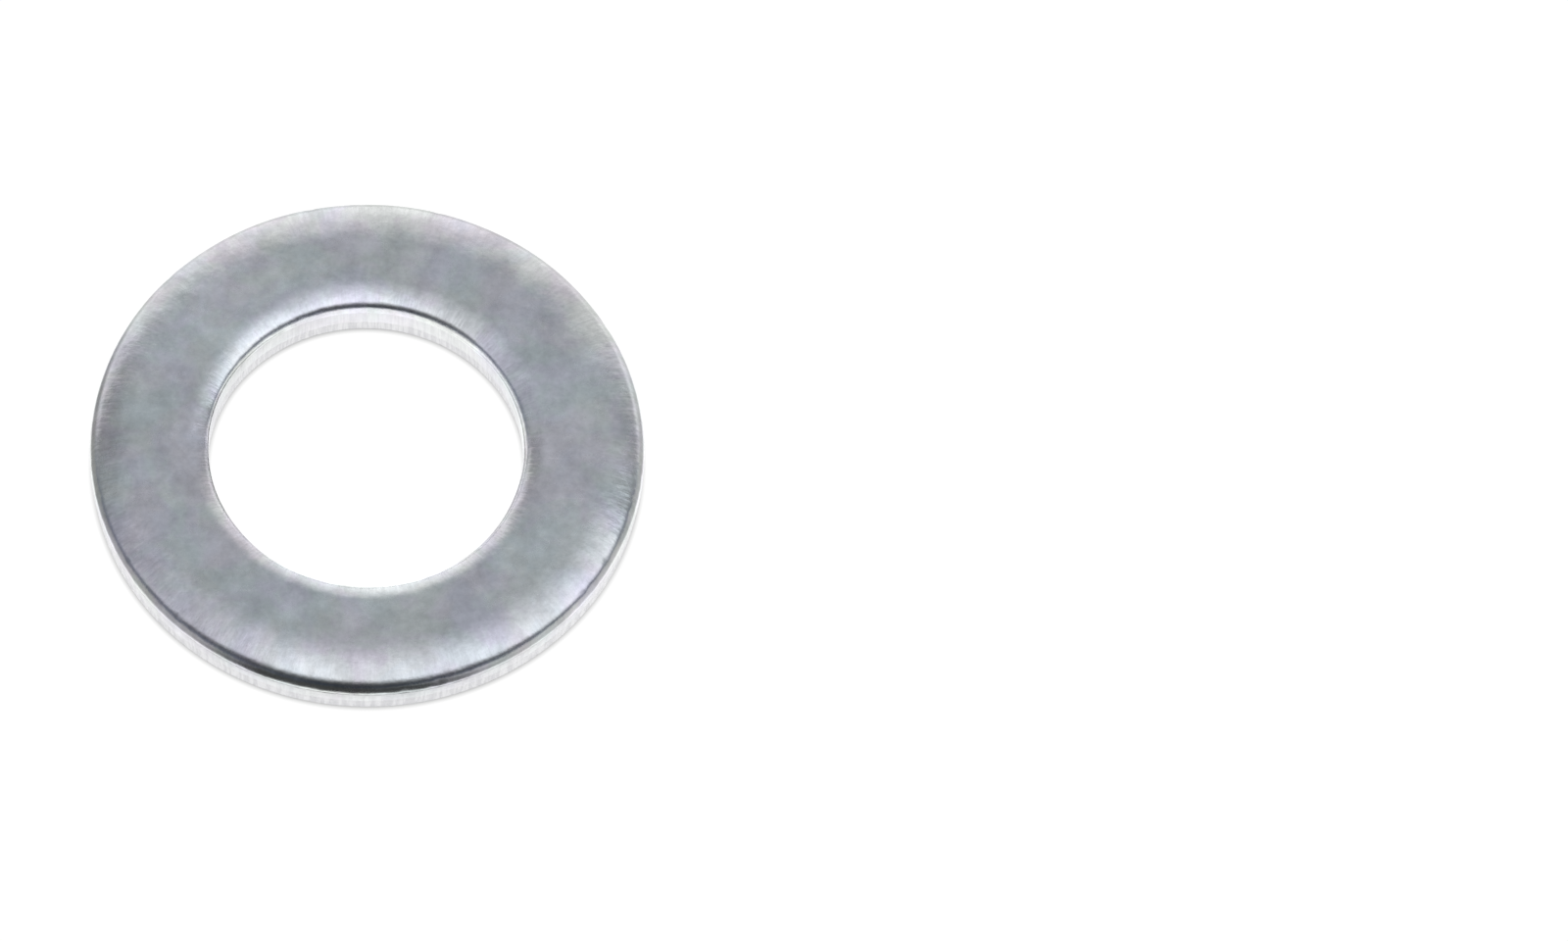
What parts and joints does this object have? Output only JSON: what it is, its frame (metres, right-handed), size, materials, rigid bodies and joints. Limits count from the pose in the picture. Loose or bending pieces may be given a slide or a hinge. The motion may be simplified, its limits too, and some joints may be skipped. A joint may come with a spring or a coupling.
{
  "type": "flat washer",
  "caption": "Round flat steel washer, zinc plated, with rolled upper edges and a clearance bore for an M16 bolt.",
  "frame": {"origin": "centre of the bore in the plane of the lower face, the face with the torn edges", "axes": "+Z along the bore, from the lower face to the upper face with the rolled edges; the ring is round, so X and Y are free"},
  "size_m": [0.03, 0.03, 0.003],
  "materials": {
    "zinc_plate": "bright zinc plate with a clear blue passivate, tumbled, softly reflective"
  },
  "bodies": {
    "root": {"flat_washer": "zinc_plate"}
  },
  "joints": []
}
